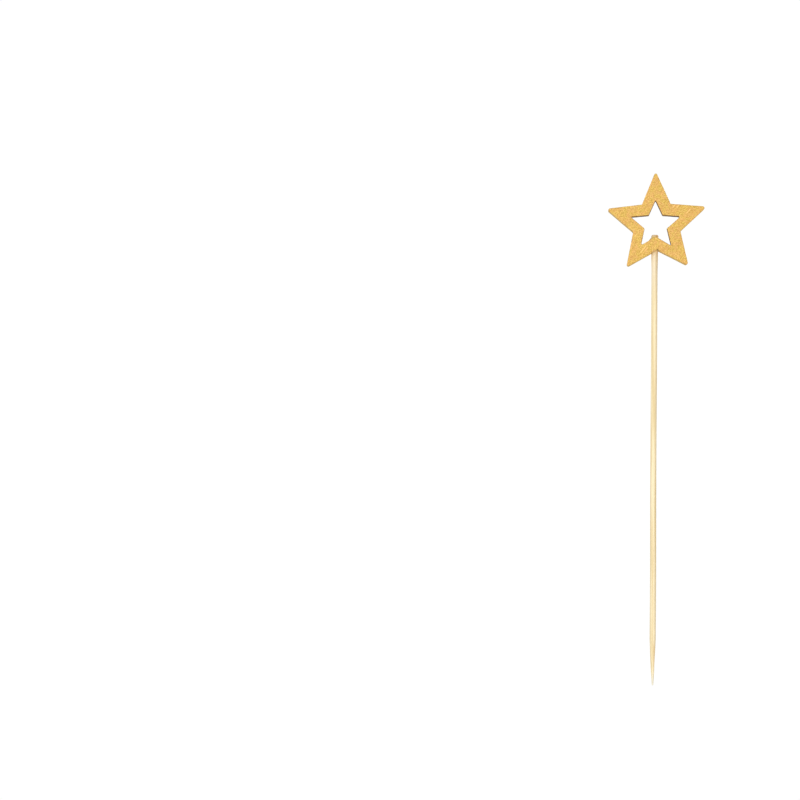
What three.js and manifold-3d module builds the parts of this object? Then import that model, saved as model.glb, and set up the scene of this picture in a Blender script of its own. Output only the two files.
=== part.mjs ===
// Cocktail pick: an open plywood star, painted gold, on a pointed bamboo stick.
// Millimetres, +Z up. The stick's point is the origin and its axis is Z. The star's front faces -Y.

import * as THREE from 'three';
import { mergeVertices } from 'three/addons/utils/BufferGeometryUtils.js';
import Module from 'manifold-3d';

const wasm = await Module();
wasm.setup();

// Whole pick
const OVERALL_LENGTH = 138;

// Star outline. Radii run from the star's centre to the sharp corner.
const STAR_ARMS = 5;
const STAR_WIDTH = 26; // over the rounded side tips
const STAR_NOTCH_RADIUS = 6.7;
const STAR_TIP_ROUND = 0.45;
const CUTOUT_TIP_RADIUS = 6.95;
const CUTOUT_NOTCH_RADIUS = 3.13;
const CUTOUT_TIP_ROUND = 0.15;

// Plywood layers
const FACE_PLY_THICKNESS = 0.9;
const CORE_PLY_THICKNESS = 3.0;
const EDGE_BREAK = 0.15; // sanded edge along both faces, cut-out included

// How the star sits on the stick, seen from the front
const STAR_SIDE_OFFSET = 0.4; // centre to the right of the stick's axis
const STAR_ROLL = THREE.MathUtils.degToRad(1.4); // counter-clockwise

// Stick
const STICK_DIAMETER = 1.65;
const STICK_SIDES = 16;
const STICK_STANDOUT = 0.47; // end above the corner of the cut-out that it comes through
const STICK_END_BREAK = 0.12;
const POINT_LENGTH = 12.4;
const POINT_END_DIAMETER = 0.6;

// Joint between the stick and the star
const BORE_CLEARANCE = 0.2; // radial, filled by the glue
const GLUE_SETBACK = 0.35; // glue ends this far inside both mouths of the hole

// Curve and merge detail
const ARC_STEPS = 4;
const EDGE_STEPS = 2;
const MERGE_DISTANCE = 1e-4;

// Worked-out sizes
const ARM_ANGLE = (2 * Math.PI) / STAR_ARMS;
const UP = Math.PI / 2;
const starThickness = 2 * FACE_PLY_THICKNESS + CORE_PLY_THICKNESS;
const stickRadius = STICK_DIAMETER / 2;
const boreRadius = stickRadius + BORE_CLEARANCE;
const starTipRadius = tipRadiusForWidth(STAR_WIDTH, STAR_NOTCH_RADIUS, STAR_TIP_ROUND);
const starReach = starTipRadius - tipSetback(starTipRadius, STAR_NOTCH_RADIUS, STAR_TIP_ROUND);
const starCentre = new THREE.Vector3(STAR_SIDE_OFFSET, 0, OVERALL_LENGTH - topOfRolledTip());

const gold = { color: 0xe2b25c, roughness: 0.42, metalness: 0.45 };
const bamboo = { color: 0xf2e2bb, roughness: 0.7, metalness: 0 };
const amber = { color: 0xb98a4a, roughness: 0.3, metalness: 0 };

// Star geometry

// Half of the corner angle at a tip of a star
function tipHalfAngle(tipRadius, notchRadius) {
  const half = ARM_ANGLE / 2;
  return Math.atan2(notchRadius * Math.sin(half), tipRadius - notchRadius * Math.cos(half));
}

// How far behind the sharp corner the rounded tip ends
function tipSetback(tipRadius, notchRadius, round) {
  return round / Math.sin(tipHalfAngle(tipRadius, notchRadius)) - round;
}

// Sharp tip radius that gives a star its width over the two rounded side tips
function tipRadiusForWidth(width, notchRadius, round) {
  const sideTip = Math.cos(UP - ARM_ANGLE);
  let radius = width / (2 * sideTip);
  for (let pass = 0; pass < 20; pass += 1) {
    const arcCentre = radius - tipSetback(radius, notchRadius, round) - round;
    radius += (width / 2 - round - arcCentre * sideTip) / sideTip;
  }
  return radius;
}

// Height of the rolled star's top tip above its centre
function topOfRolledTip() {
  return (starReach - STAR_TIP_ROUND) * Math.cos(STAR_ROLL) + STAR_TIP_ROUND;
}

function polar(radius, angle) {
  return new THREE.Vector2(radius * Math.cos(angle), radius * Math.sin(angle));
}

// Draws a star with rounded tips and sharp notches, one tip up, on a shape or a hole's path
function drawStar(path, tipRadius, notchRadius, round) {
  const sweep = Math.PI / 2 - tipHalfAngle(tipRadius, notchRadius);
  const arcRadius = tipRadius - tipSetback(tipRadius, notchRadius, round) - round;
  for (let arm = 0; arm < STAR_ARMS; arm += 1) {
    const angle = UP + arm * ARM_ANGLE;
    const centre = polar(arcRadius, angle);
    const notch = polar(notchRadius, angle + ARM_ANGLE / 2);
    path.absarc(centre.x, centre.y, round, angle - sweep, angle + sweep, false);
    path.lineTo(notch.x, notch.y);
  }
  path.closePath();
  return path;
}

// The whole star cut from the board, before its layers are told apart
function starBlank() {
  const outline = drawStar(new THREE.Shape(), starTipRadius, STAR_NOTCH_RADIUS, STAR_TIP_ROUND);
  outline.holes.push(drawStar(new THREE.Path(), CUTOUT_TIP_RADIUS, CUTOUT_NOTCH_RADIUS, CUTOUT_TIP_ROUND));
  const blank = new THREE.ExtrudeGeometry(outline, {
    depth: starThickness - 2 * EDGE_BREAK,
    bevelThickness: EDGE_BREAK,
    bevelSize: EDGE_BREAK,
    bevelOffset: -EDGE_BREAK,
    bevelSegments: EDGE_STEPS,
    curveSegments: ARC_STEPS,
  });
  blank.translate(0, 0, EDGE_BREAK - starThickness / 2);
  return blank.rotateX(Math.PI / 2);
}

// One layer of the board, wide enough for any star
function layer(fromY, toY) {
  const side = 4 * starTipRadius;
  const slab = new THREE.BoxGeometry(side, toY - fromY, side);
  return slab.translate(0, (fromY + toY) / 2, 0);
}

// Solids for cutting

function toSolid(geometry) {
  const bare = geometry.clone();
  bare.deleteAttribute('normal');
  bare.deleteAttribute('uv');
  const merged = mergeVertices(bare, MERGE_DISTANCE);
  return new wasm.Manifold(new wasm.Mesh({
    numProp: 3,
    vertProperties: merged.attributes.position.array,
    triVerts: new Uint32Array(merged.index.array),
  }));
}

function toGeometry(solid) {
  const mesh = solid.getMesh();
  const geometry = new THREE.BufferGeometry();
  geometry.setAttribute('position', new THREE.BufferAttribute(mesh.vertProperties, 3));
  geometry.setIndex(new THREE.BufferAttribute(mesh.triVerts, 1));
  geometry.computeVertexNormals();
  return geometry;
}

// Turned pieces on the stick's axis. A profile is a list of (radius, height) points.

function turned(profile) {
  const points = profile.map(([radius, height]) => new THREE.Vector2(radius, height));
  return new THREE.LatheGeometry(points, STICK_SIDES).rotateX(Math.PI / 2);
}

function stickGeometry(length) {
  return turned([
    [0, 0],
    [POINT_END_DIAMETER / 2, 0],
    [stickRadius, POINT_LENGTH],
    [stickRadius, length - STICK_END_BREAK],
    [stickRadius - STICK_END_BREAK, length],
    [0, length],
  ]);
}

function boreGeometry(fromZ, toZ) {
  return turned([[0, fromZ], [boreRadius, fromZ], [boreRadius, toZ], [0, toZ]]);
}

function sleeveGeometry(fromZ, toZ) {
  return turned([
    [stickRadius, fromZ],
    [boreRadius, fromZ],
    [boreRadius, toZ],
    [stickRadius, toZ],
    [stickRadius, fromZ],
  ]);
}

// Lowest place on a star's bottom notch, in the stick's frame, within reach of the bore
function notchSpan(tipRadius, notchRadius) {
  const apex = new THREE.Vector3(0, 0, -notchRadius).applyAxisAngle(new THREE.Vector3(0, 1, 0), -STAR_ROLL);
  apex.add(starCentre);
  const half = ARM_ANGLE / 2;
  const rise = tipRadius * Math.cos(half) - notchRadius;
  const slope = Math.atan2(rise, tipRadius * Math.sin(half)) + Math.abs(STAR_ROLL);
  const reach = boreRadius + Math.abs(apex.x);
  return { top: apex.z, bottom: apex.z - reach * Math.tan(slope) };
}

function piece(name, geometry, finish) {
  const mesh = new THREE.Mesh(geometry, new THREE.MeshStandardMaterial(finish));
  mesh.name = name;
  return mesh;
}

// The star: three layers of one blank, the core drilled for the stick

function makeStar() {
  const star = new THREE.Group();
  star.position.copy(starCentre);
  star.rotation.y = -STAR_ROLL;
  star.updateMatrixWorld();

  const blank = toSolid(starBlank());
  const face = starThickness / 2;
  const core = CORE_PLY_THICKNESS / 2;
  const bore = boreGeometry(starCentre.z - starTipRadius, starCentre.z);
  bore.applyMatrix4(star.matrixWorld.clone().invert());

  const front = blank.intersect(toSolid(layer(-face, -core)));
  const middle = blank.intersect(toSolid(layer(-core, core))).subtract(toSolid(bore));
  const back = blank.intersect(toSolid(layer(core, face)));
  star.add(
    piece('front_ply', toGeometry(front), gold),
    piece('core_ply', toGeometry(middle), gold),
    piece('back_ply', toGeometry(back), gold),
  );
  return star;
}

// The stick and the glue that holds it in the bore

function makeStick() {
  const lowerMouth = notchSpan(starTipRadius, STAR_NOTCH_RADIUS);
  const upperMouth = notchSpan(CUTOUT_TIP_RADIUS, CUTOUT_NOTCH_RADIUS);
  const stick = new THREE.Group();
  stick.add(
    piece('stick', stickGeometry(upperMouth.top + STICK_STANDOUT), bamboo),
    piece('glue_bond', sleeveGeometry(lowerMouth.top + GLUE_SETBACK, upperMouth.bottom - GLUE_SETBACK), amber),
  );
  return stick;
}

const pick = new THREE.Group();
pick.add(makeStar(), makeStick());

export default pick;
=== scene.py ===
# Cocktail pick: an open plywood star in gold paint, on a bamboo stick with a whittled point.
# Shapes are worked out in millimetres and become metres where a mesh is made.
# +Z runs up the stick from its point, and the star's front faces -Y.

import math

import bmesh
import bpy
import numpy as np
from mathutils import Matrix, Vector, geometry, noise


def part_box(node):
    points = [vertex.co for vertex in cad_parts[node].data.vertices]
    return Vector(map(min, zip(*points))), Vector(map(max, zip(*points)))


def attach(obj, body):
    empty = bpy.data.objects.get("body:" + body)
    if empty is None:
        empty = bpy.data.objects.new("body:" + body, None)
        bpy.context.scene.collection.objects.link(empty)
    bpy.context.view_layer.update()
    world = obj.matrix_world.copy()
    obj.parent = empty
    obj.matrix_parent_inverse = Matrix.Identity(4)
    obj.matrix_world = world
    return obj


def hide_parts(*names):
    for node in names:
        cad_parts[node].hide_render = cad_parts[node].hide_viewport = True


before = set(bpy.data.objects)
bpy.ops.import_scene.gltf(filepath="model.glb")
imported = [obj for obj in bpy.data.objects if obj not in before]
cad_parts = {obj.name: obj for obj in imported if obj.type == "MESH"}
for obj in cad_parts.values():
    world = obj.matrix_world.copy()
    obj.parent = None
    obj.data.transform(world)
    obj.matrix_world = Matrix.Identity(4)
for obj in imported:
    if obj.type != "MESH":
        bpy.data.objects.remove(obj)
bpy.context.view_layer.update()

MM = 0.001


def cad_box(node):
    """Lowest and highest corner of a CAD node, in millimetres."""
    low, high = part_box(node)
    return np.array(low) / MM, np.array(high) / MM


# Sizes taken from the frame
front_low, front_high = cad_box("front_ply")
core_high = cad_box("core_ply")[1]
stick_high = cad_box("stick")[1]
glue_low, glue_high = cad_box("glue_bond")
FACE = -front_low[1]
PLY_LINE = core_high[1]
STICK_RADIUS = stick_high[0]
BORE_RADIUS = glue_high[0]

# Star outline. Radii run from the star's centre to the sharp corner.
# Tips are listed from the top one on, notches from the upper left one on, counter-clockwise.
STAR_ARMS = 5
STAR_ROLL = math.radians(1.4)
STAR_TIP_RADIUS = 14.31
STAR_NOTCH_RADII = (6.6, 6.69, 7.06, 6.7, 6.63)
STAR_TIP_ROUNDS = (0.45, 0.5, 0.46, 0.52, 0.5)
STAR_NOTCH_ROUND = 0.16
CUTOUT_TIP_RADII = (6.62, 7.02, 6.78, 7.04, 7.02)
CUTOUT_NOTCH_RADIUS = 3.16
CUTOUT_TIP_ROUNDS = (0.12, 0.15, 0.24, 0.16, 0.25)
CUTOUT_NOTCH_ROUND = 0.24
CUTOUT_ROLL = math.radians(0.7)
CUTOUT_SHIFT = np.array([-0.25, -0.19])  # the cut-out sits a little off the star's centre
CUTOUT_SLANT = np.array([0.07, 0.07])  # and drifts this way from front to back
CUTOUT_KERF = 0.07  # and is this much tighter at the back, all round

# Spacing of the points
LOOP_STEP = 0.13  # along an outline and across a wall
FEWEST_STEPS = 5  # round a corner and across a wall
LATTICE_STEP = 0.17  # over the star's faces
LATTICE_CLEARANCE = 0.55 * LATTICE_STEP  # from the lattice to the outlines
BORE_STEPS = 8
FILL_TOLERANCE = 1e-6
SHARP_ANGLE = math.radians(38)  # edges that turn more than this are shaded as sharp

# Surface of the board
EDGE_ROUND = 0.16
EDGE_ROUND_SPREAD = 0.3  # share by which the sanding varies
EDGE_ROUND_PATCH = 3.1  # length over which it varies
EDGE_STEPS = 4
PLY_GROOVE = 0.025
GRAIN_ANGLE = math.radians(56)  # of the face veneers, up from +X
CORE_GRAIN_ANGLE = GRAIN_ANGLE + math.pi / 2
FACE_GRAIN_DEPTH = 0.02
END_GRAIN_DEPTH = 0.055
LONG_GRAIN_DEPTH = 0.025
SAW_WAVE_DEPTH = 0.015
SAW_WAVE = (2.4, 1.6, 2.4)  # size of one wave

# Scars and painted shade where the stick enters the star. A place is (x, y, z). A stain and a spot
# of painted shade are each full within their first distance from the place and gone at their
# second.
TEAR_AT = (-0.2, -2.3, 116.85)  # tear-out in the front veneer's lower edge
TEAR_DEPTH = 0.33
TEAR_REACH = 0.5
TEAR_RAGGED = 0.35  # share by which its depth varies
TEAR_WAVES = 3.1  # of this variation, per millimetre
TEAR_STAIN = (0.35, 0.65)
# The mark in the bottom notch is partly a scorch and partly painted shade of the gap under the
# notch's corner
SCORCH_AND_SHADE_AT = (0.72, -2.3, 117.18)  # in the bottom notch
SCORCH_AND_SHADE_STAIN = (0.15, 0.5)
# A dark spot of painted shade, for the gap between the stick and the hole at the front veneer's
# lower edge
GAP_SHADE_AT = (-0.8, -2.3, 116.48)
GAP_SHADE_REACH = (0.1, 0.3)
PLY_STAIN = (0.02, 0.09)  # on both sides of a ply line
PLY_BLEND = 0.02  # half the width over which the core's pits give way to the veneers'

# Brush marks on the front face, painted as light lines that are painted highlights, as (x, z, half
# the length)
BRUSH_MARKS = (
    (4.98, 129.12, 0.85),
    (6.1, 129.15, 0.6),
    (8.9, 127.85, 0.9),
    (-3.15, 117.55, 1.35),
    (-2.3, 117.65, 0.7),
)
BRUSH_ANGLE = math.radians(50)
BRUSH_HAIR = 0.2  # half the width of a mark
# The gap runs from a mark's painted highlight to the line of painted shade on its right
BRUSH_GAP = 0.45  # from a light mark to the darker one on its right

# Stick. A pair that ends in IN or OUT is the heights between which something comes in or goes out.
STICK_SIDES = 72
STICK_STEP = 0.55
STICK_CUT = 0.15  # how much lower its upper end is cut than the solid's
STICK_TOP = stick_high[2] - STICK_CUT
STICK_END_ROUND = 0.38
STICK_END_STEPS = 4
STICK_END_DISH = 0.05  # how far the middle of its upper end is sunk
POINT_LENGTH = 12.4
POINT_END_RADIUS = 0.23
POINT_END_ROUND = 0.03
POINT_BELLY = 0.015  # how far the whittled flank stands outside a straight cone
POINT_FACETS = 7
POINT_TWIST = 0.9  # turn of the facets, in radians over the point
FACETS_OUT = (0.55 * POINT_LENGTH, POINT_LENGTH)
FIBRE_DEPTH = 0.011
FIBRE_COUNT = 2.6  # radius of the circle through the noise: more of it gives more fibres
FIBRE_LENGTH = 22
FINE_FIBRE_DEPTH = 0.01
FINE_FIBRE_COUNT = 7.0
FINE_FIBRE_LENGTH = 7
SWAY = 0.035
SWAY_LENGTH = 34
SWAY_LANES = (0.3, 4.3)  # places in the noise for the sway along X and along Y
SWAY_IN = (0, 15)
SWAY_OUT = (95, 114)
STICK_BOW = 0.09  # bend to the left
BOW_SPAN = (20, 114)
COLLAR_SWELL = 0.075  # glue-soaked wood, from just under the star to the stick's end
COLLAR_IN = (111.5, 115.2)
NUB_SWELL = 0.05  # paint and glue round the end that stands into the cut-out
NUB_IN = (119.0, 120.0)
STICK_LEAN = 0.055  # how far its upper part stands to the left
LEAN_IN = (80, 108)
LEAN_OUT = (117, 120.0)

# Colours along the stick: heights as above, then heights over the mouth of the hole, and then
# heights over the stick's upper end
PALE_OUT = (0.0, 4.5)
# Heights of the painted shade on the point's right flank
FLANK_IN = (4.0, 6.5)
FLANK_OUT = (9.5, 12.0)
# Heights of the painted light below the star
UNDER_STAR_IN = (-14.0, -3.0)
STAIN_IN = (-1.1, -0.1)
PAINT_IN = (1.4, 1.8)
CUT_IN = (-0.6, -0.4)
RIM_IN = (-0.25, -0.12)

# Glue
GLUE_SIDES = 48
GLUE_OVERLAP = 0.06  # how far it reaches into the swollen stick
GLUE_INNER = STICK_RADIUS + COLLAR_SWELL - GLUE_OVERLAP
GLUE_RAGGED = 0.3
GLUE_RAGGED_COUNT = 1.6  # radius of the circle through the noise
GLUE_HOLLOW = 0.08
FILLET_SIDES = 48
FILLET_STEPS = 8
FILLET_SEAT = 0.15  # its foot is sunk this far into the board
FILLET_ROOT = 0.2  # and its underside lies this far below the foot
FILLET_REACH = (1.12, 0.44)  # radius of its foot, and how much more it has on the left
FILLET_RISE = (0.24, 0.4)  # the same for its height on the stick
FILLET_AHEAD = 1.1  # how much more its foot reaches towards the front face
FILLET_LUMPS = 0.09
FILLET_LUMP_COUNT = 1.3  # radius of the circle through the noise
FILLET_CURVE = 1.3  # exponent of its flank: over 1 is hollow, under 1 is full
FILLET_FULLNESS = 0.85  # how much lower the exponent is in front
FILLET_LEFT = 0.8  # share of that fullness on the left
NOTCH_REACH = 2.5  # half the width of the cut-out's lower edge that the fillet can stand on
NOTCH_EASING = (-0.26, -0.1, 0.1, 0.26)  # places averaged to ease the corner

# Camera, lights and studio, in metres
CAMERA_PLACE = (-0.02007, -0.8, 0.07168)
CAMERA_YAW = math.radians(3.48)
CAMERA_PITCH = math.radians(0.35)
CAMERA_ROLL = math.radians(0.345)
CAMERA_LENS = 132.87
LIGHT_AIM = (0.0, 0.0, 0.09)
KEY_PLACE = (-0.5, -1.1, 0.3)
BOUNCE_PLACE = (0.3, -0.9, -0.55)
BACK_PLACE = (0.5, 0.9, 0.4)
WORLD_DARKEST = 0.46
WORLD_BRIGHTEST = 0.86
FLOOR_DROP = 0.0002
FLOOR_RADIUS = 0.5
STUDIO_RADIUS = 3.0
STUDIO_BEND = 0.8
STUDIO_HEIGHT = 3.0
STUDIO_SIDES = 96
STUDIO_BEND_STEPS = 8
STUDIO_GLOW = 1.02


# Noise and grain

def noise_at(points, seed):
    """Smooth noise from -1 to 1 at each point of an array of (x, y, z)."""
    shift = Vector((seed * 17.31, seed * 5.77, seed * 11.13))
    return np.array([noise.noise(Vector(point) + shift) for point in points])


def grain_at(points, angle, length, width, seed):
    """Noise drawn out along the wood's grain, which runs in the star's plane."""
    x, y, z = points.T
    along = x * math.cos(angle) + z * math.sin(angle)
    across = z * math.cos(angle) - x * math.sin(angle)
    return noise_at(np.stack([along / length, across / width, y / width], axis=1), seed)


def smoothstep(low, high, values):
    """Values eased from 0 at low to 1 at high."""
    share = np.clip((values - low) / (high - low), 0, 1)
    return share * share * (3 - 2 * share)


# Outlines, as (x, z) in the star's plane

def unit(vector):
    """A vector in the same direction, one long."""
    return vector / np.linalg.norm(vector)


def star_corners(tip_radii, notch_radii, roll):
    """Sharp corners of a star, from its top tip on. Each kind shares one radius or has its own."""
    angles = math.pi / 2 + roll + math.pi / STAR_ARMS * np.arange(2 * STAR_ARMS)
    radii = np.empty(2 * STAR_ARMS)
    radii[::2] = tip_radii
    radii[1::2] = notch_radii
    return np.stack([radii * np.cos(angles), radii * np.sin(angles)], axis=1)


def corner_arc(corner, before, after, rounding):
    """Points round one corner, from the edge that comes in to the edge that goes out."""
    back, ahead = unit(before - corner), unit(after - corner)
    half = math.acos(float(back @ ahead)) / 2
    centre = corner + unit(back + ahead) * rounding / math.sin(half)
    start = corner + back * rounding / math.tan(half) - centre
    end = corner + ahead * rounding / math.tan(half) - centre
    first = math.atan2(start[1], start[0])
    sweep = math.remainder(math.atan2(end[1], end[0]) - first, 2 * math.pi)
    steps = max(FEWEST_STEPS, round(abs(sweep) * rounding / LOOP_STEP))
    angles = first + sweep * np.linspace(0, 1, steps + 1)
    return centre + rounding * np.stack([np.cos(angles), np.sin(angles)], axis=1)


def rounded_loop(corners, rounds):
    """Closed outline through rounded corners, in steps of about LOOP_STEP."""
    count = len(corners)
    arcs = [
        corner_arc(corners[i], corners[i - 1], corners[(i + 1) % count], rounds[i])
        for i in range(count)
    ]
    points = []
    for i, arc in enumerate(arcs):
        start, end = arc[-1], arcs[(i + 1) % count][0]
        steps = round(np.linalg.norm(end - start) / LOOP_STEP)
        points.extend(arc)
        points.extend(start + (end - start) * step / steps for step in range(1, steps))
    return np.array(points)


def tips_and_notches(tips, notch):
    """One rounding for each corner of a star: each tip's own, then the notch after it."""
    return [rounding for tip in tips for rounding in (tip, notch)]


def outward(loop):
    """Unit normals that point out of a counter-clockwise loop."""
    tangent = np.roll(loop, -1, axis=0) - np.roll(loop, 1, axis=0)
    tangent /= np.linalg.norm(tangent, axis=1, keepdims=True)
    return np.stack([tangent[:, 1], -tangent[:, 0]], axis=1)


def inside(points, loop):
    """True for the points that lie inside a closed loop."""
    crossed = np.zeros(len(points), bool)
    for start, end in zip(loop, np.roll(loop, -1, axis=0)):
        if start[1] == end[1]:
            continue
        level = (start[1] > points[:, 1]) != (end[1] > points[:, 1])
        share = (points[:, 1] - start[1]) / (end[1] - start[1])
        crossed ^= level & (points[:, 0] < start[0] + share * (end[0] - start[0]))
    return crossed


def place_outlines():
    """The star's outline, its cut-out and its centre, seated in the CAD star's box."""
    outer = rounded_loop(
        star_corners(STAR_TIP_RADIUS, STAR_NOTCH_RADII, STAR_ROLL),
        tips_and_notches(STAR_TIP_ROUNDS, STAR_NOTCH_ROUND),
    )
    cutout = rounded_loop(
        star_corners(CUTOUT_TIP_RADII, CUTOUT_NOTCH_RADIUS, CUTOUT_ROLL) + CUTOUT_SHIFT,
        tips_and_notches(CUTOUT_TIP_ROUNDS, CUTOUT_NOTCH_ROUND),
    )
    side = (front_low[0] + front_high[0] - outer[:, 0].min() - outer[:, 0].max()) / 2
    centre = np.array([side, front_high[2] - outer[:, 1].max()])
    return outer + centre, cutout + centre, centre


OUTER_LOOP, CUTOUT_LOOP, STAR_CENTRE = place_outlines()
BOTTOM_NOTCH = STAR_ARMS // 2
MOUTH = STAR_CENTRE[1] - STAR_NOTCH_RADII[BOTTOM_NOTCH]  # height where the stick enters the star


# Shells: the vertices, faces and looks of a piece while it is being made

class Shell:
    def __init__(self):
        self.points = []
        self.faces = []
        self.looks = []

    def add(self, points):
        """Adds points and returns their numbers."""
        first = len(self.points)
        self.points.extend(tuple(point) for point in points)
        return np.arange(first, len(self.points))

    def face(self, corners, look=0):
        self.faces.append([int(corner) for corner in corners])
        self.looks.append(look)

    def bridge(self, ring, other, look=0):
        """Quads between two closed rings of vertices."""
        for corners in zip(ring, np.roll(ring, -1), np.roll(other, -1), other):
            self.face(corners, look)

    def tube(self, rings, look=0):
        """Quads between each ring and the next."""
        for ring, other in zip(rings, rings[1:]):
            self.bridge(ring, other, look)

    def fan(self, ring, middle, look=0):
        """Triangles from a ring to a new point in its middle."""
        centre = self.add([middle])[0]
        for start, end in zip(ring, np.roll(ring, -1)):
            self.face((start, end, centre), look)

    def fill(self, rim, hole, extra, look):
        """Triangles over a flat face between its rim and its hole, through its extra vertices."""
        numbers = np.concatenate([rim, hole, extra]).astype(int)
        plane = np.array(self.points)[numbers][:, [0, 2]]
        edges = [(i, (i + 1) % len(rim)) for i in range(len(rim))]
        edges += [(len(rim) + i, len(rim) + (i + 1) % len(hole)) for i in range(len(hole))]
        points = [Vector(point) for point in plane]
        filled = geometry.delaunay_2d_cdt(points, edges, [], 0, FILL_TOLERANCE, True)
        sources = [ids[0] for ids in filled[3]]
        faces = np.array([[sources[corner] for corner in corners] for corners in filled[2]])
        middles = plane[faces].mean(axis=1)
        rim_loop, hole_loop = plane[:len(rim)], plane[len(rim):len(rim) + len(hole)]
        for corners in faces[inside(middles, rim_loop) & ~inside(middles, hole_loop)]:
            self.face(numbers[corners], look)

    def build(self, name, materials):
        """The shell as an object, in metres, with its normals pointing out."""
        mesh = bpy.data.meshes.new(name)
        mesh.from_pydata([Vector(point) * MM for point in self.points], [], self.faces)
        for material in materials:
            mesh.materials.append(material)
        mesh.polygons.foreach_set("material_index", self.looks)
        work = bmesh.new()
        work.from_mesh(mesh)
        bmesh.ops.recalc_face_normals(work, faces=work.faces)
        work.to_mesh(mesh)
        work.free()
        shade(mesh)
        piece = bpy.data.objects.new(name, mesh)
        bpy.context.scene.collection.objects.link(piece)
        return piece


def shade(mesh):
    """Smooth shading, apart from the sharp edges."""
    mesh.polygons.foreach_set("use_smooth", [True] * len(mesh.polygons))
    mesh.set_sharp_from_angle(angle=SHARP_ANGLE)


def angles_round(sides):
    """Even steps of a full turn, from +X towards +Y."""
    return 2 * math.pi * np.arange(sides) / sides


def circle(radius, z, sides):
    """Points round the stick's axis. The radius and the height may differ from point to point."""
    angles = angles_round(sides)
    z = np.zeros(sides) + z
    return np.stack([radius * np.cos(angles), radius * np.sin(angles), z], axis=1)


# The plywood star

FACE_LOOK, EDGE_LOOK, CUTOUT_LOOK, BORE_LOOK = range(4)


def in_space(plane, y=0.0):
    """(x, z) points of the star's plane as (x, y, z)."""
    return np.stack([plane[:, 0], np.zeros(len(plane)) + y, plane[:, 1]], axis=1)


def face_dip(plane):
    """How far the painted veneer dips at (x, z) points: long grain and a few open pores."""
    points = in_space(plane)
    ridges = grain_at(points, GRAIN_ANGLE, length=5.0, width=0.45, seed=1)
    lines = grain_at(points, GRAIN_ANGLE, length=2.2, width=0.2, seed=2)
    pores = smoothstep(0.3, 0.6, grain_at(points, GRAIN_ANGLE, length=1.1, width=0.16, seed=3))
    return FACE_GRAIN_DEPTH * (0.5 + 0.3 * ridges + 0.2 * lines + 0.9 * pores)


def wall_dip(points, into, angle):
    """How far a sawn wall dips: rough where it cuts across the grain, lined along it."""
    cut_across = np.abs(into @ np.array([math.cos(angle), math.sin(angle)]))
    pits = smoothstep(-0.05, 0.5, grain_at(points, angle, length=2.6, width=0.19, seed=20))
    lines = 0.5 + 0.5 * grain_at(points, angle, length=7.0, width=0.3, seed=21)
    waves = 1 + noise_at(points / SAW_WAVE, seed=22)
    ends = END_GRAIN_DEPTH * cut_across * pits
    lengths = LONG_GRAIN_DEPTH * (1 - cut_across) * lines
    return ends + lengths + SAW_WAVE_DEPTH * waves


def tear(plane):
    """Depth of the tear-out at the front veneer's lower edge: flat in its middle, steep around."""
    away = np.hypot(plane[:, 0] - TEAR_AT[0], plane[:, 1] - TEAR_AT[2])
    ragged = 1 + TEAR_RAGGED * noise_at(in_space(plane) * TEAR_WAVES, seed=7)
    return TEAR_DEPTH * np.exp(-((away / TEAR_REACH) ** 4)) * ragged


def edge_rounding(loop):
    """The sanded edge's radius at each point of a loop."""
    patches = noise_at(in_space(loop) / EDGE_ROUND_PATCH, seed=5)
    return EDGE_ROUND * (1 + EDGE_ROUND_SPREAD * patches)


def sanded_rows(loop, side):
    """Rows round a sanded edge, from the face to the wall, as (y, inset, share of roughness)."""
    rounding = edge_rounding(loop)
    dip = face_dip(loop)
    torn = tear(loop) if side < 0 else 0.0
    rows = []
    for turn in np.linspace(0, math.pi / 2, EDGE_STEPS, endpoint=False):
        sunk = rounding * (1 - math.cos(turn)) + dip * math.cos(turn)
        inset = rounding * (1 - math.sin(turn)) + torn
        rows.append((side * (FACE - sunk), inset, math.sin(turn)))
    return rows


def ply_rows(loop, low, high):
    """Rows across a ply from front to back: sanded edge, wall, and a groove at a ply line."""
    faced_front, faced_back = low == -FACE, high == FACE
    rounding = edge_rounding(loop)
    front = low + (rounding if faced_front else PLY_GROOVE)
    back = high - (rounding if faced_back else PLY_GROOVE)
    torn = tear(loop) if faced_front else 0.0
    shares = np.linspace(0, 1, max(FEWEST_STEPS, round((high - low) / LOOP_STEP)))
    wall = [(front + (back - front) * share, torn * (1 - share), 1.0) for share in shares]
    before = sanded_rows(loop, -1) if faced_front else [(low, PLY_GROOVE, 1.0)]
    after = sanded_rows(loop, 1)[::-1] if faced_back else [(high, PLY_GROOVE, 1.0)]
    return before + wall + after


def wall_rings(shell, loop, into, low, high, angle, wall_look, drift=0.0):
    """One loop of a ply's wall. Returns its first and last ring of vertices.

    The loop is true at the star's front face and moves by drift on the way to its back face.
    """
    rings = []
    for y, inset, roughness in ply_rows(loop, low, high):
        points = in_space(loop, y)
        inset = inset + roughness * wall_dip(points, into, angle)
        share = (points[:, 1:2] + FACE) / (2 * FACE)
        rings.append(shell.add(in_space(loop + into * inset[:, None] + drift * share, y)))
    sanded_front = EDGE_STEPS if low == -FACE else 0
    sanded_back = len(rings) - (EDGE_STEPS if high == FACE else 0)
    for i, (ring, other) in enumerate(zip(rings, rings[1:])):
        on_wall = sanded_front <= i < sanded_back - 1
        shell.bridge(ring, other, wall_look if on_wall else FACE_LOOK)
    return rings[0], rings[-1]


def lattice(outer, cutout):
    """Points of a triangular lattice over the star's face, clear of both outlines."""
    low, high = outer.min(axis=0), outer.max(axis=0)
    rows = np.arange(low[1], high[1], LATTICE_STEP * math.sqrt(3) / 2)
    columns = np.arange(low[0], high[0], LATTICE_STEP)
    grid = np.array([
        (x + i % 2 * LATTICE_STEP / 2, z) for i, z in enumerate(rows) for x in columns
    ])
    grid = grid[inside(grid, outer) & ~inside(grid, cutout)]
    edge = np.concatenate([outer, cutout])
    nearest = np.array([np.hypot(*(edge - point).T).min() for point in grid])
    return grid[nearest > LATTICE_CLEARANCE]


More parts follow.
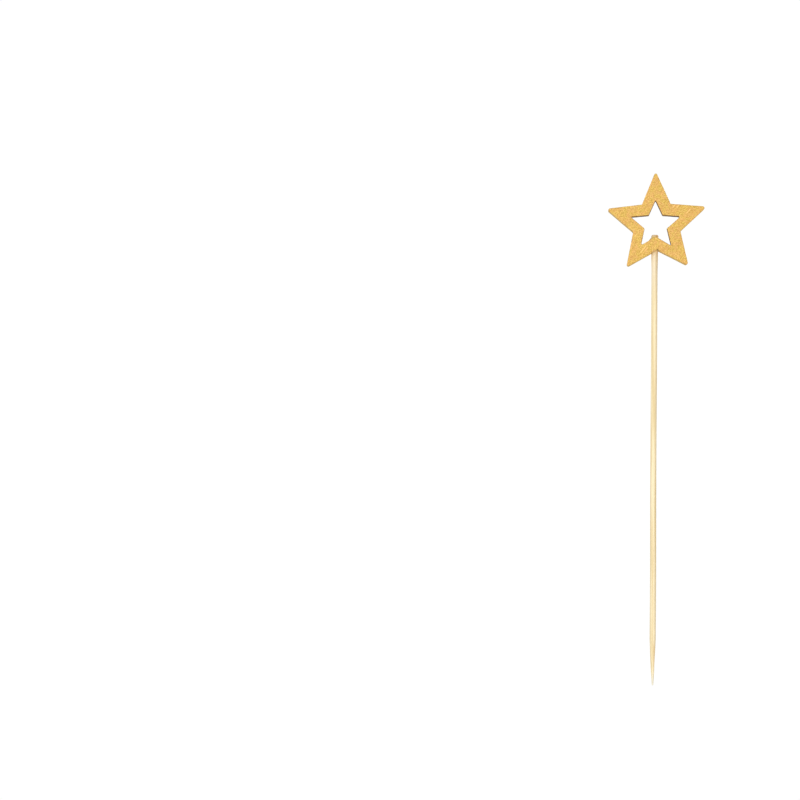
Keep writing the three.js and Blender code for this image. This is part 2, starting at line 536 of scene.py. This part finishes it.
def make_ply(name, low, high, angle, materials):
    """One layer of the star, from low to high in Y, with its grain at an angle."""
    shell = Shell()
    outer = wall_rings(shell, OUTER_LOOP, -outward(OUTER_LOOP), low, high, angle, EDGE_LOOK)
    away = outward(CUTOUT_LOOP)
    drift = CUTOUT_SLANT - CUTOUT_KERF * away
    cutout = wall_rings(shell, CUTOUT_LOOP, away, low, high, angle, CUTOUT_LOOK, drift)
    for rim, hole, y in zip(outer, cutout, (low, high)):
        extra = []
        if abs(y) == FACE:
            points = np.array(shell.points)[:, [0, 2]]
            plane = lattice(points[rim], points[hole])
            extra = shell.add(in_space(plane, math.copysign(1, y) * (FACE - face_dip(plane))))
        shell.fill(rim, hole, extra, FACE_LOOK)
    return shell.build(name, materials)


def drill(core, materials):
    """Cuts the stick's bore through the core, from the cut-out down to the bottom notch."""
    shell = Shell()
    heights = np.linspace(STAR_CENTRE[1] - STAR_TIP_RADIUS, STAR_CENTRE[1], BORE_STEPS + 1)
    rings = [shell.add(circle(BORE_RADIUS, z, GLUE_SIDES)) for z in heights]
    shell.tube(rings, BORE_LOOK)
    shell.face(rings[0], BORE_LOOK)
    shell.face(rings[-1], BORE_LOOK)
    cutter = shell.build("bore_cutter", materials)
    cut = core.modifiers.new("bore", "BOOLEAN")
    cut.object = cutter
    cut.operation = "DIFFERENCE"
    cut.solver = "EXACT"
    drilled = bpy.data.meshes.new_from_object(
        core.evaluated_get(bpy.context.evaluated_depsgraph_get())
    )
    core.modifiers.clear()
    core.data = drilled
    shade(drilled)
    bpy.data.objects.remove(cutter)


# The bamboo stick

def shaft_radius(z):
    """Radius at a height: whittled point, shaft, collar under the star, and end in the cut-out."""
    share = min(z / POINT_LENGTH, 1.0)
    cone = POINT_END_RADIUS + (STICK_RADIUS - POINT_END_RADIUS) * share
    belly = 4 * POINT_BELLY * share * (1 - share)
    collar = COLLAR_SWELL * smoothstep(*COLLAR_IN, z)
    return cone + belly + collar + NUB_SWELL * smoothstep(*NUB_IN, z)


def facet(angles, z):
    """Share of the radius that the whittling leaves, more on the facets' corners."""
    pitch = 2 * math.pi / POINT_FACETS
    turned = (angles + POINT_TWIST * z / POINT_LENGTH) % pitch - pitch / 2
    flat = (1 + math.cos(pitch / 2)) / 2 / np.cos(turned)
    strength = 1 - smoothstep(*FACETS_OUT, z)
    return 1 - strength * (1 - flat)


def fibres_at(z, count, length, seed):
    """Noise round the stick at a height, drawn out along it."""
    return noise_at(circle(1.0, 0, STICK_SIDES) * count + (0, 0, z / length), seed)


def axis_at(z):
    """How far the stick's middle stands off its axis at a height, as (x, y)."""
    free = smoothstep(*SWAY_IN, z) * (1 - smoothstep(*SWAY_OUT, z))
    sway = SWAY * free * noise_at([(z / SWAY_LENGTH, lane, 0.0) for lane in SWAY_LANES], seed=33)
    bent = min(max((z - BOW_SPAN[0]) / (BOW_SPAN[1] - BOW_SPAN[0]), 0.0), 1.0)
    bow = STICK_BOW * math.sin(math.pi * bent) ** 2
    lean = STICK_LEAN * smoothstep(*LEAN_IN, z) * (1 - smoothstep(*LEAN_OUT, z))
    return sway - (bow + lean, 0.0)


def stick_ring(z, shrink=0.0, sink=0.0):
    """One ring of the stick, with its fibres, drawn in by shrink and down by sink."""
    fibres = fibres_at(z, FIBRE_COUNT, FIBRE_LENGTH, seed=31)
    fine = fibres_at(z, FINE_FIBRE_COUNT, FINE_FIBRE_LENGTH, seed=32)
    depth = FIBRE_DEPTH * fibres + FINE_FIBRE_DEPTH * fine
    size = shaft_radius(z)
    whittled = facet(angles_round(STICK_SIDES), z)
    radius = (size - depth * min(1.0, size / STICK_RADIUS)) * whittled - shrink
    ring = circle(radius, z - sink, STICK_SIDES)
    ring[:, :2] += axis_at(z)
    return ring


def make_stick(material):
    """The stick, from its blunt point to the rounded and slightly dished end in the cut-out."""
    shell = Shell()
    end_start = STICK_TOP - STICK_END_ROUND
    heights = np.linspace(0, end_start, round(STICK_TOP / STICK_STEP))
    rings = [shell.add(stick_ring(0.0, POINT_END_ROUND))]
    rings += [shell.add(stick_ring(z)) for z in heights[1:]]
    for turn in np.linspace(0, math.pi / 2, STICK_END_STEPS + 1)[1:]:
        shrink = STICK_END_ROUND * (1 - math.cos(turn))
        drop = STICK_END_ROUND * (1 - math.sin(turn))
        rings.append(shell.add(stick_ring(STICK_TOP - drop, shrink)))
    for share in (0.25, 0.5, 0.75):
        shrink = STICK_END_ROUND + (STICK_RADIUS - STICK_END_ROUND) * share
        sink = STICK_END_DISH * (0.4 + 0.4 * share)
        rings.append(shell.add(stick_ring(STICK_TOP, shrink, sink)))
    shell.tube(rings)
    shell.fan(rings[0], (0, 0, 0))
    shell.fan(rings[-1], (0, 0, STICK_TOP - STICK_END_DISH))
    return shell.build("bamboo_stick", [material])


# The glue in the bore, and the bead of it at the stick's end

def make_glue(material):
    """A ragged sleeve between the stick and the bore, hollowed at both ends."""
    shell = Shell()
    middle = (GLUE_INNER + BORE_RADIUS) / 2
    around = circle(GLUE_RAGGED_COUNT, 0, GLUE_SIDES)
    low = glue_low[2] + GLUE_RAGGED * noise_at(around, seed=41)
    high = glue_high[2] + GLUE_RAGGED * noise_at(around, seed=42)
    section = [
        (GLUE_INNER, low), (middle, low + GLUE_HOLLOW), (BORE_RADIUS, low),
        (BORE_RADIUS, high), (middle, high - GLUE_HOLLOW), (GLUE_INNER, high),
    ]
    rings = [shell.add(circle(radius, z, GLUE_SIDES)) for radius, z in section]
    shell.tube(rings + rings[:1])
    return shell.build("glue_sleeve", [material])


def notch_height(x):
    """Height of the cut-out's lower edge under the stick's end, its corner eased, at each x."""
    below = CUTOUT_LOOP[:, 1] < STAR_CENTRE[1]
    bottom = CUTOUT_LOOP[below & (np.abs(CUTOUT_LOOP[:, 0]) < NOTCH_REACH)]
    bottom = bottom[np.argsort(bottom[:, 0])]
    heights = [np.interp(x + step, bottom[:, 0], bottom[:, 1]) for step in NOTCH_EASING]
    return np.mean(heights, axis=0)


def make_fillet(material):
    """The bead of glue, painted over, that runs from the cut-out's edge up the stick's end."""
    shell = Shell()
    angles = angles_round(FILLET_SIDES)
    left = np.clip(-np.cos(angles), 0, 1)
    ahead = np.clip(-np.sin(angles), 0, 1)
    lumps = FILLET_LUMPS * noise_at(circle(FILLET_LUMP_COUNT, 0, FILLET_SIDES), seed=51)
    reach = FILLET_REACH[0] + FILLET_REACH[1] * left + FILLET_AHEAD * ahead + lumps
    rise = FILLET_RISE[0] + FILLET_RISE[1] * left + lumps
    curve = FILLET_CURVE - FILLET_FULLNESS * np.maximum(ahead, FILLET_LEFT * left)

    def ring(share, lift):
        radius = reach + (GLUE_INNER - reach) * share
        floor = notch_height(radius * np.cos(angles)) - FILLET_SEAT
        return shell.add(circle(radius, floor + lift, FILLET_SIDES))

    shares = np.linspace(0, 1, FILLET_STEPS + 1)
    rings = [ring(share, (rise + FILLET_SEAT) * share ** curve) for share in shares]
    rings += [ring(1.0, -FILLET_ROOT), ring(0.0, -FILLET_ROOT)]
    shell.tube(rings + rings[:1])
    return shell.build("painted_fillet", [material])


# Materials

def display(red, green, blue):
    """A colour given in display values from 0 to 255, as the shader wants it."""
    def linear(value):
        share = value / 255
        return share / 12.92 if share <= 0.04045 else ((share + 0.055) / 1.055) ** 2.4
    return (linear(red), linear(green), linear(blue), 1.0)


class Look:
    """A procedural material. Its coordinates are the object's, in millimetres."""

    def __init__(self, name):
        self.material = bpy.data.materials.new(name)
        self.material.use_nodes = True
        self.tree = self.material.node_tree
        self.shader = self.tree.nodes["Principled BSDF"]

    def node(self, kind, inputs, **settings):
        """A new node. Each of its inputs is linked to a socket or set to a value."""
        made = self.tree.nodes.new("ShaderNode" + kind)
        for key, value in settings.items():
            setattr(made, key, value)
        for key, value in inputs.items():
            if isinstance(value, bpy.types.NodeSocket):
                self.tree.links.new(value, made.inputs[key])
            else:
                made.inputs[key].default_value = value
        return made

    def place(self, angle=0.0, squeeze=(1.0, 1.0, 1.0)):
        """Coordinates in millimetres, turned to the grain, then squeezed along each axis."""
        turned = self.node("Mapping", {
            "Vector": self.node("TexCoord", {}).outputs["Object"],
            "Rotation": (0.0, angle, 0.0),
            "Scale": (1 / MM, 1 / MM, 1 / MM),
        })
        inputs = {0: turned.outputs[0], 1: squeeze}
        return self.node("VectorMath", inputs, operation="MULTIPLY").outputs[0]

    def axis(self, name, place=None):
        """One coordinate of a place, or of the object's own coordinates."""
        return self.node("SeparateXYZ", {0: place or self.place()}).outputs[name]

    def noise(self, scale=1.0, detail=2.0, roughness=0.5, place=None):
        """Noise from 0 to 1 at a place, or at the object's own coordinates."""
        return self.node("TexNoise", {
            "Vector": place or self.place(),
            "Scale": scale,
            "Detail": detail,
            "Roughness": roughness,
        }).outputs["Fac"]

    def grain(self, angle, along, across, detail=2.0):
        """Noise along the board's grain, as waves per millimetre along it and across it."""
        return self.noise(detail=detail, place=self.place(angle, (along, across, across)))

    def upright(self, along, across, detail=2.0):
        """Noise along the stick, as waves per millimetre along it and across it."""
        return self.noise(detail=detail, place=self.place(0.0, (across, across, along)))

    def math(self, operation, first, second=0.0):
        return self.node("Math", {0: first, 1: second}, operation=operation).outputs[0]

    def times(self, first, second):
        return self.math("MULTIPLY", first, second)

    def plus(self, first, second):
        return self.math("ADD", first, second)

    def apart(self, first, second):
        """How far two numbers are apart."""
        return self.math("ABSOLUTE", self.math("SUBTRACT", first, second))

    def ramp(self, value, low, high, to_low=0.0, to_high=1.0):
        """Value eased from to_low to to_high as it goes from low to high."""
        return self.node("MapRange", {
            "Value": value,
            "From Min": low,
            "From Max": high,
            "To Min": to_low,
            "To Max": to_high,
        }, interpolation_type="SMOOTHSTEP").outputs[0]

    def blend(self, share, first, second):
        """A number between two others."""
        return self.node("Mix", {0: share, 2: first, 3: second}, data_type="FLOAT").outputs[0]

    def mix(self, share, first, second):
        """A colour between two others."""
        return self.node("Mix", {0: share, 6: first, 7: second}, data_type="RGBA").outputs[2]

    def near(self, place, core, reach):
        """1 within about core millimetres of a place, fading raggedly to 0 at reach."""
        away = self.node("VectorMath", {0: self.place(), 1: place}, operation="DISTANCE")
        ragged = self.times(self.noise(scale=3.2, detail=3.0), reach)
        distance = self.plus(away.outputs["Value"], ragged)
        return self.ramp(distance, core + reach / 2, reach * 1.5, 1.0, 0.0)

    def bump(self, height, depth):
        """Relief of the finest grain, with its depth in millimetres."""
        made = self.node("Bump", {"Height": height, "Distance": depth * MM, "Strength": 1.0})
        self.tree.links.new(made.outputs[0], self.shader.inputs["Normal"])

    def finish(self, **sockets):
        """Sets or links the shader's sockets, named with _ for spaces, and gives the material."""
        for key, value in sockets.items():
            socket = self.shader.inputs[key.replace("_", " ")]
            if isinstance(value, bpy.types.NodeSocket):
                self.tree.links.new(value, socket)
            else:
                socket.default_value = value
        return self.material


# Gold paint

def paint_flakes(look):
    """The fine flakes in the gold paint."""
    return look.noise(scale=3.7, detail=4.0, roughness=0.6)


def gold_colour(look, flakes, lift=0.0):
    """Gold paint: warm and yellow patches, strokes along the grain and fine bright flakes.

    Lift, from 0 to 1, is how far it is lightened: partly thinner, matt paint, partly painted light
    that lifts places in shade.
    """
    patches = look.ramp(look.noise(scale=1.1), 0.35, 0.65)
    dark = look.mix(patches, display(200, 149, 70), display(195, 153, 60))
    light = look.mix(patches, display(238, 192, 113), display(234, 199, 103))
    broad = look.noise(scale=0.4, detail=1.0)
    ground = look.plus(look.times(flakes, 0.94), look.times(broad, 0.06))
    strokes = look.grain(GRAIN_ANGLE, along=0.3, across=2.6, detail=1.0)
    stroked = look.ramp(look.noise(scale=0.21, detail=1.0), 0.5, 0.64, 0.07, 0.2)
    brightness = look.ramp(look.blend(stroked, ground, strokes), 0.38, 0.62)
    streaks = look.ramp(look.grain(GRAIN_ANGLE, along=0.16, across=1.3), 0.5, 0.7, 0.0, 0.4)
    colour = look.mix(streaks, look.mix(brightness, dark, light), display(233, 175, 97))
    # lightened by lift: partly thinner paint, partly painted light
    return look.mix(lift, colour, display(255, 224, 138))


def scarred_and_shaded(look, colour):
    """Adds the bare wood of the tear-out, painted shade for the gap beside the stick, and the
    scorch in the bottom notch with painted shade of its gap.
    """
    wood = look.mix(look.noise(scale=2.5), display(226, 166, 108), display(244, 202, 146))
    colour = look.mix(look.near(TEAR_AT, *TEAR_STAIN), colour, wood)
    # painted shade: the gap beside the stick, as a dark spot
    colour = look.mix(look.near(GAP_SHADE_AT, *GAP_SHADE_REACH), colour, display(140, 98, 48))
    # a scorch, darkened further as painted shade of the gap under the notch
    return look.mix(look.near(SCORCH_AND_SHADE_AT, *SCORCH_AND_SHADE_STAIN), colour, display(92, 60, 18))


def brush_line(look, x, z, reach):
    """1 along a short line on the front face that follows the brush, 0 elsewhere."""
    turned = look.place(BRUSH_ANGLE)
    along = x * math.cos(BRUSH_ANGLE) + z * math.sin(BRUSH_ANGLE)
    across = z * math.cos(BRUSH_ANGLE) - x * math.sin(BRUSH_ANGLE)
    ends = look.apart(look.axis("X", turned), along)
    sides = look.apart(look.axis("Z", turned), across)
    line = look.times(
        look.ramp(ends, 0.5 * reach, 1.2 * reach, 1.0, 0.0),
        look.ramp(sides, 0.3 * BRUSH_HAIR, BRUSH_HAIR, 1.0, 0.0),
    )
    front = look.ramp(look.axis("Y"), -FACE / 2, 0.0, 1.0, 0.0)
    return look.times(line, front)


def brush_highlights_and_shade(look, colour):
    """Adds the marks of the brush as painted light: lines of painted highlight, each with a line
    of painted shade on its right.
    """
    for x, z, reach in BRUSH_MARKS:
        light = brush_line(look, x, z, reach)
        dark = brush_line(look, x + BRUSH_GAP, z, reach)
        # painted shade beside each mark, then its painted highlight
        colour = look.mix(look.times(dark, 0.45), colour, display(196, 144, 58))
        colour = look.mix(look.times(light, 0.7), colour, display(252, 206, 128))
    return colour


def gold_face():
    """Paint over the veneer's long grain, on the star's front and back."""
    look = Look("gold_face")
    flakes = paint_flakes(look)
    colour = brush_highlights_and_shade(look, gold_colour(look, flakes))
    lines = look.grain(GRAIN_ANGLE, along=0.8, across=5.0)
    look.bump(look.plus(look.times(flakes, 0.5), lines), 0.02)
    roughness = look.ramp(flakes, 0.3, 0.7, 0.5, 0.36)
    return look.finish(Base_Color=scarred_and_shaded(look, colour), Metallic=0.45, Roughness=roughness)


def board_depth(look):
    """Distance from the middle of the board's thickness."""
    return look.math("ABSOLUTE", look.axis("Y"))


def ply_line(look):
    """1 in the thin joints between the plies, 0 elsewhere."""
    return look.ramp(look.apart(board_depth(look), PLY_LINE), *PLY_STAIN, 1.0, 0.0)


def gold_edge():
    """Thinner paint on the sawn edges, also lightened as painted light on the shaded undersides,
    with end-grain pits and the lines between the plies.
    """
    look = Look("gold_edge")
    flakes = paint_flakes(look)
    # the lift is partly thinner paint, partly painted light on the undersides
    colour = gold_colour(look, flakes, lift=0.45)
    core = look.ramp(board_depth(look), PLY_LINE - PLY_BLEND, PLY_LINE + PLY_BLEND, 1.0, 0.0)
    core_pits = look.grain(CORE_GRAIN_ANGLE, along=0.4, across=5.0)
    face_pits = look.grain(GRAIN_ANGLE, along=0.4, across=5.0)
    pits = look.blend(core, face_pits, core_pits)
    strength = look.ramp(core, 0.0, 1.0, 0.3, 0.75)
    specks = look.times(look.ramp(pits, 0.3, 0.5, 1.0, 0.0), strength)
    colour = look.mix(specks, colour, display(156, 126, 54))
    colour = look.mix(look.times(ply_line(look), 0.3), colour, display(170, 124, 58))
    look.bump(look.plus(pits, look.times(flakes, 0.3)), 0.04)
    return look.finish(
        Base_Color=scarred_and_shaded(look, colour), Metallic=0.35, Roughness=0.5, Specular_IOR_Level=0.3,
    )


# Wood and glue

def cutout_wall():
    """Browner walls of the cut-out, where little paint reached."""
    look = Look("cutout_wall")
    patches = look.ramp(look.noise(scale=0.9, detail=3.0), 0.35, 0.7)
    grain = look.grain(CORE_GRAIN_ANGLE, along=0.5, across=4.0)
    tone = look.mix(patches, display(142, 102, 24), display(180, 134, 42))
    tone = look.mix(look.ramp(grain, 0.3, 0.5, 0.6, 0.0), tone, display(106, 72, 20))
    tone = look.mix(look.times(ply_line(look), 0.5), tone, display(84, 54, 18))
    look.bump(grain, 0.04)
    return look.finish(Base_Color=tone, Metallic=0.2, Roughness=0.55)


def bore_wall():
    """Bare wood with the drill's scores round it."""
    look = Look("bore_wall")
    scores = look.upright(along=5.0, across=0.6)
    tone = look.mix(scores, display(96, 62, 30), display(150, 108, 62))
    look.bump(scores, 0.03)
    return look.finish(Base_Color=tone, Roughness=0.8)


def whittled(look, tone, height, side):
    """Adds painted shade on the right flank of the point, its pale end, and painted shade on the
    stick's right.
    """
    # painted shade on the point's right flank, between these heights
    flank = look.times(look.ramp(height, *FLANK_IN), look.ramp(height, *FLANK_OUT, 1.0, 0.0))
    flank = look.times(flank, look.ramp(side, 0.25, 0.6, 0.0, 0.5))
    tone = look.mix(flank, tone, display(218, 180, 118))
    tone = look.mix(look.ramp(height, *PALE_OUT, 0.95, 0.0), tone, display(228, 221, 200))
    # painted shade: darker towards the stick's right
    return look.mix(look.ramp(side, 0.35, 0.85, 0.0, 0.4), tone, display(214, 186, 136))


def lit_and_shaded_below_star(look, tone, over_mouth, side):
    """Adds painted light that makes the wood paler below the star, painted shade on its right, and
    a stain at the mouth.
    """
    under_star = look.ramp(over_mouth, *UNDER_STAR_IN)
    # painted light: paler wood below the star
    tone = look.mix(look.times(under_star, 0.6), tone, display(250, 236, 212))
    # painted shade on the stick's right, below the star
    shaded = look.times(under_star, look.ramp(side, 0.05, 0.65, 0.0, 0.62))
    tone = look.mix(shaded, tone, display(214, 188, 140))
    return look.mix(look.ramp(over_mouth, *STAIN_IN, 0.0, 0.5), tone, display(255, 214, 158))


def end_grain(look, tone, over_end, side):
    """Adds the cut end of the stick, with painted shade on its right, and its darker rim."""
    # painted shade: the cut end turns orange towards its right
    cut = look.mix(look.ramp(side, 0.3, 0.9), display(255, 236, 194), display(238, 180, 106))
    tone = look.mix(look.ramp(over_end, *CUT_IN, 0.0, 0.9), tone, cut)
    return look.mix(look.ramp(over_end, *RIM_IN, 0.0, 0.8), tone, display(216, 174, 118))


def bamboo():
    """Pale bamboo with long fibres, painted from inside the hole up."""
    look = Look("bamboo")
    broad = look.upright(along=0.035, across=1.6, detail=3.0)
    fine = look.upright(along=0.08, across=4.0, detail=3.0)
    height = look.axis("Z")
    # How far right a place lies, raggedly; it places the painted shade on the stick's right
    side = look.plus(look.axis("X"), look.times(broad, 0.5))
    raggedness = look.math("SUBTRACT", look.noise(scale=1.4), 0.5)
    ragged = look.plus(height, look.times(raggedness, 0.6))
    over_mouth = look.math("SUBTRACT", ragged, MOUTH)
    over_end = look.math("SUBTRACT", ragged, STICK_TOP)
    tone = look.mix(look.ramp(broad, 0.38, 0.62), display(230, 208, 158), display(248, 232, 193))
    tone = look.mix(look.ramp(fine, 0.5, 0.72, 0.0, 0.5), tone, display(228, 196, 138))
    tone = whittled(look, tone, height, side)
    tone = lit_and_shaded_below_star(look, tone, over_mouth, side)
    painted = look.ramp(over_mouth, *PAINT_IN)
    # The painted end is lightened by lift as painted light, against the shade where it stands back
    # in the cut-out
    tone = look.mix(painted, tone, gold_colour(look, paint_flakes(look), lift=0.8))
    tone = end_grain(look, tone, over_end, side)
    look.bump(fine, 0.03)
    roughness = look.ramp(painted, 0.0, 1.0, 0.7, 0.5)
    return look.finish(Base_Color=tone, Roughness=roughness, Specular_IOR_Level=0.3)


def glue():
    """Cured amber glue."""
    look = Look("glue")
    tone = look.mix(look.noise(scale=2.0), display(150, 100, 48), display(206, 156, 92))
    return look.finish(Base_Color=tone, Roughness=0.3, Coat_Weight=0.3)


def painted_glue():
    """Glue under thin, matt paint, lightened almost to pale gold as painted light against the
    shade of the recess.
    """
    look = Look("painted_glue")
    flakes = paint_flakes(look)
    look.bump(flakes, 0.03)
    return look.finish(
        # lift near 1: painted light that lifts the bead's shade
        Base_Color=gold_colour(look, flakes, lift=0.95),
        Metallic=0.1, Roughness=0.6, Specular_IOR_Level=0.2,
    )


# Camera and studio

def make_camera():
    """Almost level, and turned to the left of the pick, which stands right of the middle."""
    data = bpy.data.cameras.new("camera")
    data.lens = CAMERA_LENS
    camera = bpy.data.objects.new("camera", data)
    level = Matrix.Rotation(math.pi / 2 + CAMERA_PITCH, 4, "X")
    turn = Matrix.Rotation(CAMERA_YAW, 4, "Z")
    roll = Matrix.Rotation(CAMERA_ROLL, 4, "Z")
    camera.matrix_world = Matrix.Translation(CAMERA_PLACE) @ turn @ level @ roll
    bpy.context.scene.collection.objects.link(camera)
    bpy.context.scene.camera = camera


def make_studio():
    """A white floor that curves up into a wall all round. It is only a background."""
    look = Look("studio_white")
    white = look.finish(
        Base_Color=(0.0, 0.0, 0.0, 1.0), Roughness=1.0, Specular_IOR_Level=0.0,
        Emission_Color=(1.0, 1.0, 1.0, 1.0), Emission_Strength=STUDIO_GLOW,
    )
    shell = Shell()
    profile = [(FLOOR_RADIUS, 0.0), (STUDIO_RADIUS - STUDIO_BEND, 0.0)]
    for turn in np.linspace(0, math.pi / 2, STUDIO_BEND_STEPS + 1)[1:]:
        profile.append((
            STUDIO_RADIUS - STUDIO_BEND * (1 - math.sin(turn)),
            STUDIO_BEND * (1 - math.cos(turn)),
        ))
    profile.append((STUDIO_RADIUS, STUDIO_HEIGHT))
    rings = [shell.add(circle(r / MM, (z - FLOOR_DROP) / MM, STUDIO_SIDES)) for r, z in profile]
    shell.tube(rings)
    shell.face(rings[0])
    sweep = shell.build("studio_sweep", [white])
    sweep.visible_diffuse = False
    sweep.visible_glossy = False
    sweep.visible_shadow = False


def make_world():
    """Soft white surroundings, brightest towards the key light."""
    world = bpy.data.worlds.new("studio")
    world.use_nodes = True
    bpy.context.scene.world = world
    tree = world.node_tree
    background = tree.nodes["Background"]
    background.inputs["Color"].default_value = (1.0, 1.0, 1.0, 1.0)
    direction = tree.nodes.new("ShaderNodeTexCoord")
    facing = tree.nodes.new("ShaderNodeVectorMath")
    facing.operation = "DOT_PRODUCT"
    facing.inputs[1].default_value = Vector(KEY_PLACE).normalized()
    brightness = tree.nodes.new("ShaderNodeMapRange")
    brightness.inputs["From Min"].default_value = -1.0
    brightness.inputs["To Min"].default_value = WORLD_DARKEST
    brightness.inputs["To Max"].default_value = WORLD_BRIGHTEST
    tree.links.new(direction.outputs["Generated"], facing.inputs[0])
    tree.links.new(facing.outputs["Value"], brightness.inputs["Value"])
    tree.links.new(brightness.outputs[0], background.inputs["Strength"])


def make_light(name, place, size, power):
    """A round soft light, aimed at the upper part of the pick."""
    data = bpy.data.lights.new(name, "AREA")
    data.shape = "DISK"
    data.size = size
    data.energy = power
    light = bpy.data.objects.new(name, data)
    light.location = place
    towards = Vector(LIGHT_AIM) - Vector(place)
    light.rotation_euler = towards.to_track_quat("-Z", "Y").to_euler()
    bpy.context.scene.collection.objects.link(light)


def light_studio():
    """A key light from the upper left, a bounce from below, and a light from behind."""
    make_light("key", KEY_PLACE, size=0.8, power=3.3)
    make_light("bounce", BOUNCE_PLACE, size=0.9, power=3.2)
    make_light("back", BACK_PLACE, size=0.9, power=6.0)


# The whole pick

make_camera()
make_world()
light_studio()
make_studio()

board = [gold_face(), gold_edge(), cutout_wall(), bore_wall()]
front = make_ply("front_veneer", -FACE, -PLY_LINE, GRAIN_ANGLE, board)
core = make_ply("core_board", -PLY_LINE, PLY_LINE, CORE_GRAIN_ANGLE, board)
back = make_ply("back_veneer", PLY_LINE, FACE, GRAIN_ANGLE, board)
drill(core, board)
stick = make_stick(bamboo())
sleeve = make_glue(glue())
fillet = make_fillet(painted_glue())

for piece, node, slot in (
    (front, "front_ply", "gold_paint"),
    (core, "core_ply", "gold_paint_edge"),
    (back, "back_ply", "gold_paint"),
    (stick, "stick", "bamboo"),
    (sleeve, "glue_bond", "adhesive"),
):
    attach(piece, "root")
    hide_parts(node)
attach(fillet, "root")

bpy.context.scene.view_settings.view_transform = "Standard"
